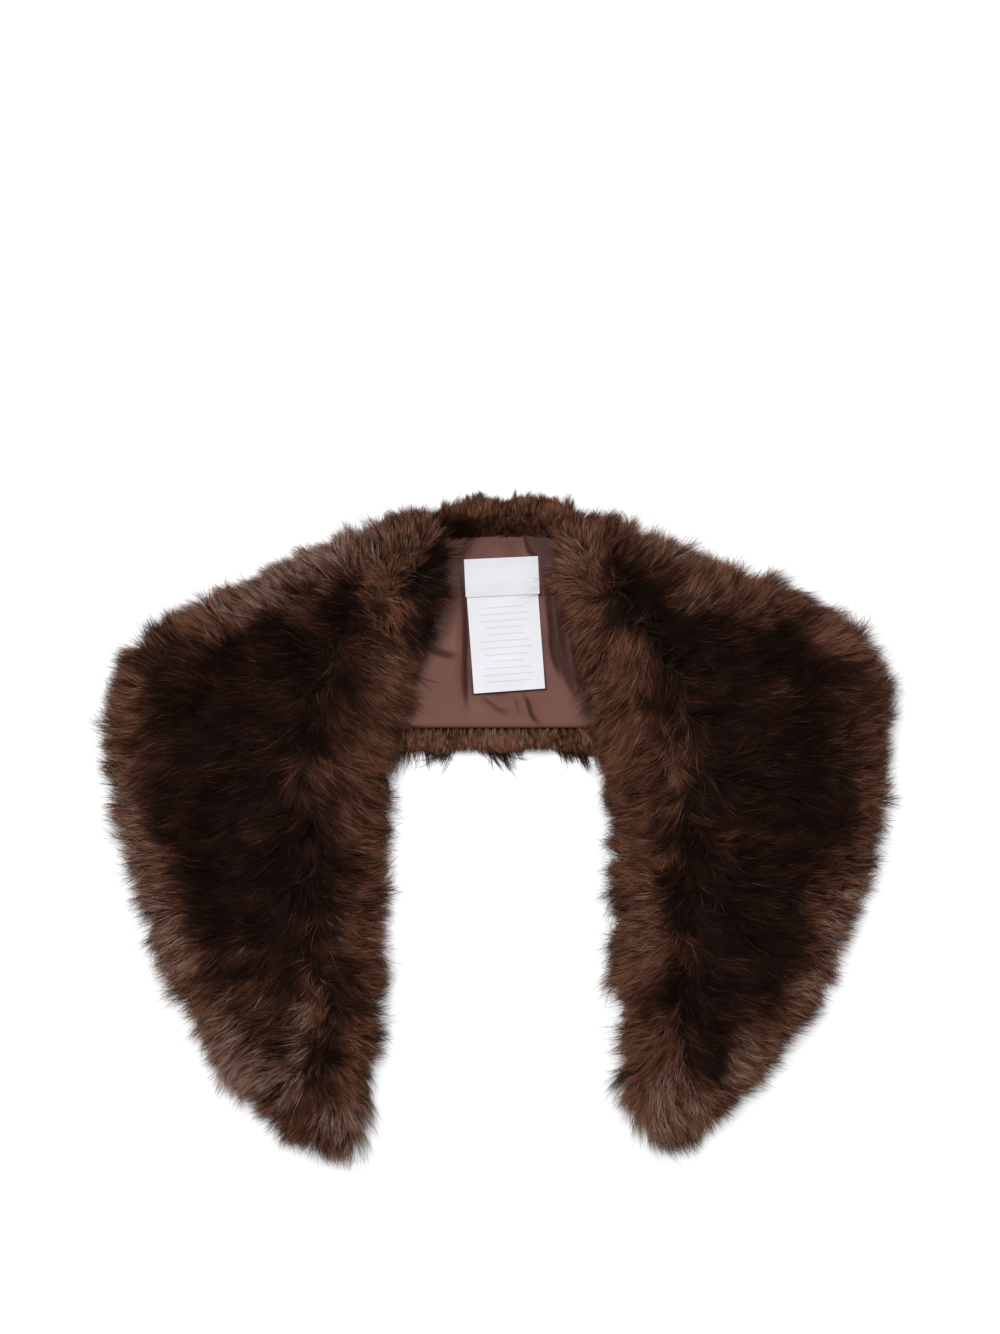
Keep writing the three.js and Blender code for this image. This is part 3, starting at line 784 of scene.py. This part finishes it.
def front_hair(name, node, mound, count, stops, fur, rng, lift, edge_only=False):
    """Hair of a front. It falls away from the parting, and near the outer edge out over that edge.
    Lift is how much lighter it is. With edge_only it is the long dark hairs past both edges."""
    roots, out = roots_on(mound, count, rng, lambda middle, way: (way[:, 2] > -0.35) * 1.0)
    x, y = roots[:, 0], roots[:, 1]
    outer, inner = front_edges(node)
    way_out, to_outer = toward(x, y, *outer)
    to_inner = toward(x, y, *inner)[1]
    side = "left" if node.endswith("left") else "right"
    lock_x, lock_y, lock_one, lock_two = nearest_lock(x, y, 0.8 * fur.lock, 43)
    tuft_x, tuft_y, tuft_one, _ = nearest_lock(x, y, fur.tuft, 47)
    from_x = x + 0.5 * (lock_x - x) + 0.3 * (tuft_x - x) + 0.022 * (lock_one - 0.5) + 0.02 * (tuft_one - 0.5)
    from_y = y + 0.5 * (lock_y - y) + 0.3 * (tuft_y - y) + 0.022 * (lock_two - 0.5)
    flow = away_from(from_x, from_y, PARTINGS[side])
    near_edge = 0.6 * (1 - smoothstep(to_outer, 0.01, 0.07))[:, None]
    flow = unit(flow * (1 - near_edge) + way_out * near_edge)
    seen_x, seen_y = x + 0.012 * flow[:, 0], y + 0.012 * flow[:, 1]
    ragged = 0.014 * drift(seen_x, seen_y, 0.03, 9) + 0.006 * drift(seen_x, seen_y, 0.01, 10)
    band_out = 1 - smoothstep(to_outer + ragged, 0.018, 0.056)
    band_in = 1 - smoothstep(to_inner + ragged, 0.026, 0.062)
    light = np.maximum(band_out, band_in)
    patches = LEFT_PATCHES if side == "left" else RIGHT_PATCHES
    streaks = drift(seen_x, seen_y * 4, 0.028, 19)
    patched = patchwork(seen_x, seen_y, patches)
    # The silver places are partly lighter hair and partly painted sheen.
    silver = smoothstep(patched, 0.08, 0.36)
    pale = 0.04 + 0.07 * light + 0.05 * band_out + 0.26 * silver * (0.8 + 0.3 * drift(x, y, 0.012, 49))
    tone = 0.17 + 0.345 * light + np.minimum(patched, 0.17) - 0.04 * silver
    tone += 0.05 * streaks + 0.07 * drift(x, y, 0.012, 15)
    tone = np.clip(tone, 0.1 + 0.03 * streaks, 0.74)
    spread = 0.45 + 0.95 * smoothstep(tone, 0.2, 0.6)
    tone += lift * spread
    lean = 1.02 - 0.1 * band_out
    over_lining = (1 - smoothstep(np.abs(x), 0.07, 0.1)) * smoothstep(y, 0.04, 0.07)
    length = fur.length * (1 - 0.2 * band_out) * (1 - 0.25 * over_lining)
    for at_x, at_y, reach, share in LEFT_LENGTHS if side == "left" else RIGHT_LENGTHS:
        away = np.hypot(x / MM - at_x, y / MM - at_y) / reach
        length = length * (1 + share * (1 - smoothstep(away, 0.4, 1.3)))
    if edge_only:
        kept = np.minimum(to_outer, to_inner) < 0.011
        return grow(
            name, roots[kept], out[kept], flow[kept], 1.75 * length[kept], 1.25, tone[kept] - 0.16,
            spread[kept], 0.0, rng, fur, stops, above_lining, clump=0.35, fine=0.6)
    edge = 1 - smoothstep(np.minimum(to_outer, to_inner), 0.008, 0.022)
    return grow(
        name, roots, out, flow, length, lean, tone, spread, pale, rng, fur, stops, above_lining, edge=edge)


class WRAP_OT_fronts(bpy.types.Operator):
    """Build the fur of both fronts"""

    bl_idname = "wrap.fronts"
    bl_label = "Front Fur"

    def execute(self, context):
        fur = context.scene.wrap_fur
        hair, underfur = fur_materials()
        for seed, side in enumerate(("left", "right")):
            node = f"fur_front_{side}"
            mound = mound_from(node, inset=fur.underfur, lift=0.0022)
            finish_piece(mound, underfur, "fur", node)
            rng = np.random.default_rng(fur.seed + seed)
            for ending, count, stops, lift, edge_only in FRONT_HAIR:
                name = f"hair_front_{side}{ending}"
                piece = front_hair(name, node, mound, count, stops, fur, rng, lift, edge_only)
                finish_piece(piece, hair, "fur")
        return {"FINISHED"}


class WRAP_OT_back(bpy.types.Operator):
    """Build the back's fur, its neck roll and its hem"""

    bl_idname = "wrap.back"
    bl_label = "Back Fur"

    def execute(self, context):
        fur = context.scene.wrap_fur
        hair, underfur = fur_materials()
        mound = mound_from("fur_back", inset=0.0035, lift=0.0)
        # The hem's underfur is drawn in, so that the hair can hang past it.
        points = points_of(mound)
        hem_part = 1 - smoothstep(np.abs(points[:, 0]), 0.085, 0.12)
        points[:, 1] += 0.007 * hem_part * (1 - smoothstep(points[:, 1], 0.047, 0.068))
        move_points(mound, points)
        finish_piece(mound, underfur, "fur", "fur_back")
        rng = np.random.default_rng(fur.seed + 5)
        shared = {"rng": rng, "fur": fur, "stops": 4, "floor": above_ground}
        low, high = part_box("lining_back")

        def at_neck(middle, way):
            shows = (middle[:, 1] > high[1] - 0.003) & (np.abs(middle[:, 0]) < 0.085)
            return shows * (way[:, 2] > -0.3)

        def at_hem(middle, way):
            shows = (middle[:, 1] < low[1] + 0.001) & (np.abs(middle[:, 0]) < 0.1)
            return shows * (way[:, 2] > -0.3)

        roots, out = roots_on(mound, NECK_HAIRS, rng, at_neck)
        x, y = roots[:, 0], roots[:, 1]
        flow = unit(np.stack([0.35 * drift(x, y, 0.03, 31) + 4 * x, np.ones_like(x)], axis=1))
        left = 1 - smoothstep(x, -0.034, -0.01)
        deep = y + 0.004 * drift(x, y, 0.012, 35)
        shade = 1 - smoothstep(deep, high[1] + 0.004 * left, high[1] + 0.008 + 0.007 * left)
        tone = 0.64 + 0.08 * drift(x, y, 0.02, 33) + 0.1 * drift(x, y, 0.005, 45)
        tone -= (0.14 + 0.36 * left) * shade
        uneven = 1 + 0.35 * drift(x, 0.5 * y, 0.006, 34) - 0.4 * np.exp(-((x + 0.014) / 0.016) ** 2)
        right_end = 1 - 0.5 * np.exp(-((x - 0.052) / 0.013) ** 2)
        length = 0.009 + 0.004 * smoothstep(x, 0.015, 0.045) + 0.006 * smoothstep(-x, 0.03, 0.06)
        length = right_end * uneven * length
        neck = grow(
            "hair_neck", roots, out, flow, length=1.1 * length, lean=0.95, tone=tone,
            spread=0.75 - 0.5 * shade, pale=(0.12 + 0.1 * left) * (1 - shade),
            clump=0.8, edge=1.0, wild=0.6, **shared)
        tips = np.flatnonzero((y > 0.222) & (drift(x, 0.5 * y, 0.005, 36) > -0.2))[::3]
        tip_length = 0.012 * right_end[tips] + 0.4 * length[tips]
        tip_tone = 0.5 + 0.2 * drift(x, y, 0.008, 38)[tips]
        neck_tips = grow(
            "hair_neck_tips", roots[tips], out[tips], flow[tips], length=tip_length, lean=1.2,
            tone=tip_tone, spread=1.0, pale=0.1, clump=1.3, fine=0.7, **shared)

        roots, out = roots_on(mound, HEM_HAIRS, rng, at_hem)
        x, y = roots[:, 0], roots[:, 1]
        flow = unit(np.stack([0.25 * drift(x, y, 0.02, 37), -np.ones_like(x)], axis=1))
        tone = 0.67 + 0.08 * drift(x, y, 0.03, 39) + 0.1 * drift(x, y * 0.3, 0.004, 40)
        tone -= 0.2 * (1 - smoothstep(y, low[1] - 0.018, low[1] - 0.007))
        edge = 0.6 * (1 - smoothstep(y, low[1] - 0.017, low[1] - 0.012))
        hem = grow(
            "hair_hem", roots, out, flow, length=0.0075, lean=1.3, tone=tone, spread=0.65, pale=0.17,
            clump=0.3, edge=edge, wild=0.35, **shared)
        tips = np.flatnonzero((y < low[1] - 0.013) & (drift(x, 0.5 * y, 0.005, 41) > -0.3))[::2]
        tip_tone = 0.26 + 0.1 * drift(x, y, 0.008, 42)[tips]
        hem_tips = grow(
            "hair_hem_tips", roots[tips], out[tips], flow[tips], length=0.024, lean=1.4,
            tone=tip_tone, spread=0.6, pale=0.02, fine=0.9, edge=1.0, wild=0.5, **shared)
        for piece in (neck, neck_tips, hem, hem_tips):
            finish_piece(piece, hair, "fur")
        return {"FINISHED"}


# Cloth


def backing_of(node, inset, level, thickness):
    """The cloth that a front's fur is rooted in. It lies along the underside of the front's node,
    by level above it, and ends by inset short of the sides."""
    places, low, high = reach_across(node, 1, 120)
    grid, points, across, up = flat_grid(node.replace("fur", "backing"), 70, 24)
    along = places[0] + inset + (places[-1] - places[0] - 2 * inset) * across
    left, right = np.interp(along, places, low) + inset, np.interp(along, places, high) - inset
    middle = (left + right) / 2
    half = np.maximum((right - left) / 2, 0.002)
    points[:, 0], points[:, 1] = middle + half * (2 * up - 1), along
    tree = tree_over(node)
    last = 0.0
    for point in points:
        hit = tree.ray_cast(Vector((point[0], point[1], -0.01)), Vector((0, 0, 1)))[0]
        last = hit.z if hit else last
        point[2] = last + level
    move_points(grid, points)
    wall(grid, thickness)
    return grid


def on_label(label, x, y):
    """A place as millimetres across a label from its middle and down it from its upper edge."""
    turn = math.radians(label["turn"])
    x, y = x / MM - label["top"][0], y / MM - label["top"][1]
    return x * math.cos(turn) + y * math.sin(turn), x * math.sin(turn) - y * math.cos(turn)


def crease_shape(x, y):
    """How high the lining's creases stand, and each point's painted shading: painted shade in the hollow
    beside a crease, a painted highlight on its crest, and painted shadow just outside the labels.
    """
    height, painted_shading = np.zeros_like(x), np.zeros_like(x)
    for start, end, half, rise in CREASES:
        start, end = np.array(start) * MM, np.array(end) * MM
        run = end - start
        reach = np.hypot(*run)
        along = ((x - start[0]) * run[0] + (y - start[1]) * run[1]) / reach ** 2
        away = ((x - start[0]) * run[1] - (y - start[1]) * run[0]) / reach
        away = away / (half * MM) + 0.22 * np.sin(7 * along)
        fold = np.where(away > 0, 1 - smoothstep(away, 0, 0.7), 1 - smoothstep(-away, 0, 1.2))
        ends = smoothstep(along, -0.05, 0.35) * (1 - smoothstep(along, 0.65, 1.05))
        height += rise * MM * fold * ends
        # Painted highlight on the crest and painted shade in the hollow beside it.
        crest = np.exp(-((away + 0.5) / 0.5) ** 2)
        hollow = np.exp(-((away - 0.15) / 0.36) ** 2)
        painted_shading += (0.12 * crest - 0.9 * hollow) * ends * rise / 2.2
    clear = np.ones_like(x)
    for label in LABELS.values():
        across, down = on_label(label, x, y)
        past = np.maximum(np.abs(across) - label["width"] / 2, np.maximum(-down, down - label["length"]))
        clear = clear * smoothstep(past, 0.3, 2.5)
        # Painted shadow just outside each label, along the lower part of its sides and under its lower edge.
        near = np.exp(-((past - 0.6) / 0.9) ** 2)
        painted_shading -= 0.45 * near * smoothstep(down, 0.6 * label["length"], label["length"])
        painted_shading -= 0.45 * near * smoothstep(down - label["length"], -0.5, 0.5)
    return height * clear, painted_shading


class WRAP_OT_lining(bpy.types.Operator):
    """Build the satin lining of the back, with its creases"""

    bl_idname = "wrap.lining"
    bl_label = "Lining"

    def execute(self, context):
        cloth = context.scene.wrap_cloth
        low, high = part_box("lining_back")
        places, bottom, top = reach_across("lining_back", 0, 160)
        grid, points, across, up = flat_grid("lining", 170, 96)
        # Most of the grid's columns lie where the lining shows, which its creases need.
        aside = np.abs(2 * across - 1)
        x = np.interp(aside, [0, 0.8, 1], [0, 0.084, places[-1]]) * np.sign(across - 0.5)
        lower, upper = np.interp(x, places, bottom), np.interp(x, places, top)
        y = lower + (upper - lower) * up
        edge = np.minimum(y - lower, upper - y)
        rolled = 0.0007 * (1 - smoothstep(edge, 0, 0.0025))
        height, painted_shading = crease_shape(x, y)
        waves = drift(x * 1.5 + y * 0.5, y * 0.6, 0.016, 51) * smoothstep(edge, 0, 0.01)
        z = low[2] + 0.001 + height - rolled + 0.00025 * waves
        move_points(grid, np.stack([x, y, z], axis=1))
        # Painted shading from a middle level: a little lighter where the waves lift the sheet, and a dark
        # line along the lower edge that is the seam with its painted shadow.
        painted_shading += 0.5 + 0.14 * waves - 0.8 * (1 - smoothstep(y - lower, 0.0, 0.0018))
        # Painted sheen: a lighter band across the lining above the hem.
        painted_shading += 0.1 * smoothstep(y, 0.07, 0.076) * (1 - smoothstep(y, 0.084, 0.1))
        # Painted shade: darker towards the neck roll.
        painted_shading -= 0.22 * smoothstep(y, 0.185, 0.212)
        # Painted shadow beside the fronts' fur, where the lining shows at each side.
        heights, left, right = np.array(LINING_SHOWS).T * MM
        side = np.where(x < 0, -x - np.interp(y, heights, left), x - np.interp(y, heights, right))
        painted_shading -= 0.5 * smoothstep(side + 0.003 * waves, -0.013, 0.002)
        # The attribute fold carries all this painted shade and highlight into the satin's colour.
        fold = grid.data.attributes.new("fold", "FLOAT", "POINT")
        fold.data.foreach_set("value", np.clip(painted_shading, 0.0, 1.0))
        wall(grid, cloth.lining_wall)
        finish_piece(grid, satin_finish(tuple(cloth.satin)), "lining", "lining_back")
        return {"FINISHED"}


class WRAP_OT_labels(bpy.types.Operator):
    """Build the two labels, sewn down at the back of the neck"""

    bl_idname = "wrap.labels"
    bl_label = "Labels"

    def execute(self, context):
        cloth = context.scene.wrap_cloth
        for name, label in LABELS.items():
            tint = [channel * label["tint"] for channel in cloth.ribbon]
            ribbon = ribbon_finish(name + "_ribbon", tint, label["rules"])
            low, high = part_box(name)
            grid, points, across, up = flat_grid(name + "_ribbon", 20, 44)
            width, length = label["width"] * MM, label["length"] * MM
            down = length * (1 - up)
            local_x = width * (across - 0.5)
            turn = math.radians(label["turn"])
            x = label["top"][0] * MM + local_x * math.cos(turn) + down * math.sin(turn)
            y = label["top"][1] * MM + local_x * math.sin(turn) - down * math.cos(turn)
            # The care label lifts towards its free end, and the main label over the care label.
            if name == "care_label":
                rise = 0.0024 * (1 - up) ** 2
            else:
                rise = 0.0013 * smoothstep(down, 0.006, 0.019)
            rise = rise + 0.00025 * drift(x, y, 0.014, 71) + 0.00025
            move_points(grid, np.stack([x, y, low[2] + 0.0006 + rise], axis=1))
            spots = np.stack([across, 1 - up], axis=1)
            ends = np.empty(len(grid.data.loops), dtype=np.int32)
            grid.data.loops.foreach_get("vertex_index", ends)
            grid.data.uv_layers.active.name = "ribbon"
            grid.data.uv_layers["ribbon"].data.foreach_set("uv", spots[ends].ravel())
            wall(grid, cloth.ribbon_wall)
            finish_piece(grid, ribbon, "label", name)
        return {"FINISHED"}


class WRAP_OT_backing(bpy.types.Operator):
    """Build the cloth that the fur is rooted in"""

    bl_idname = "wrap.backing"
    bl_label = "Fur Backing"

    def execute(self, context):
        knit = backing_finish()
        for side in ("left", "right"):
            node = f"fur_front_{side}"
            cloth = backing_of(node, inset=0.012, level=0.0003, thickness=0.0014)
            finish_piece(cloth, knit, "fur")
        return {"FINISHED"}


# Studio and panel


class WRAP_OT_studio(bpy.types.Operator):
    """Build the table, the camera and the lights"""

    bl_idname = "wrap.studio"
    bl_label = "Studio"

    def execute(self, context):
        studio = context.scene.wrap_studio
        bpy.ops.object.select_all(action="DESELECT")
        bpy.ops.mesh.primitive_plane_add(size=TABLE_WIDTH, location=(0, 0, TABLE_LEVEL))
        table = bpy.context.active_object
        table.name = "table"
        paint = Finish("table_white")
        table.data.materials.append(
            paint.surface({"Base Color": (0.96, 0.96, 0.96, 1.0), "Roughness": 0.9}))

        frame_height = PHOTO_ROWS * studio.scale * MM
        distance = frame_height * studio.lens / SENSOR
        aim_y = (ORIGIN_ROW - PHOTO_ROWS / 2) * studio.scale * MM
        bpy.ops.object.camera_add(location=(0, aim_y, distance + PILE_MIDDLE))
        camera = bpy.context.active_object
        camera.data.lens = studio.lens
        camera.data.sensor_fit = "VERTICAL"
        camera.data.sensor_height = SENSOR
        context.scene.camera = camera

        bpy.ops.object.light_add(type="AREA", location=KEY_PLACE)
        key = bpy.context.active_object
        key.data.shape = "DISK"
        key.data.size = KEY_WIDTH
        key.data.energy = studio.key
        key.rotation_euler = (Vector(KEY_AIM) - key.location).to_track_quat("-Z", "Y").to_euler()
        world = bpy.data.worlds.new("studio")
        world.use_nodes = True
        sky = world.node_tree.nodes["Background"]
        sky.inputs["Color"].default_value = (1, 1, 1, 1)
        sky.inputs["Strength"].default_value = SKY_STRENGTH
        context.scene.world = world
        context.scene.view_settings.view_transform = "Standard"
        return {"FINISHED"}


class WRAP_PT_panel(bpy.types.Panel):
    """Lists the steps that build the wrap"""

    bl_idname = "WRAP_PT_panel"
    bl_label = "Fur Collar Wrap"
    bl_space_type = "VIEW_3D"
    bl_region_type = "UI"
    bl_category = "Wrap"

    def draw(self, context):
        layout = self.layout
        for settings in (context.scene.wrap_fur, context.scene.wrap_cloth, context.scene.wrap_studio):
            for name in settings.__annotations__:
                layout.prop(settings, name)
        for operator in OPERATORS:
            layout.operator(operator.bl_idname)


OPERATORS = (
    WRAP_OT_studio,
    WRAP_OT_fronts,
    WRAP_OT_back,
    WRAP_OT_backing,
    WRAP_OT_lining,
    WRAP_OT_labels,
)
SETTINGS = {
    "wrap_fur": WrapFurSettings,
    "wrap_cloth": WrapClothSettings,
    "wrap_studio": WrapStudioSettings,
}


def register():
    for name, group in SETTINGS.items():
        bpy.utils.register_class(group)
        setattr(bpy.types.Scene, name, PointerProperty(type=group))
    for operator in OPERATORS:
        bpy.utils.register_class(operator)
    bpy.utils.register_class(WRAP_PT_panel)


def unregister():
    bpy.utils.unregister_class(WRAP_PT_panel)
    for operator in reversed(OPERATORS):
        bpy.utils.unregister_class(operator)
    for name, group in SETTINGS.items():
        delattr(bpy.types.Scene, name)
        bpy.utils.unregister_class(group)


def main():
    register()
    bpy.ops.wrap.studio()
    bpy.ops.wrap.fronts()
    bpy.ops.wrap.back()
    bpy.ops.wrap.backing()
    bpy.ops.wrap.lining()
    bpy.ops.wrap.labels()


if __name__ == "__main__":
    main()
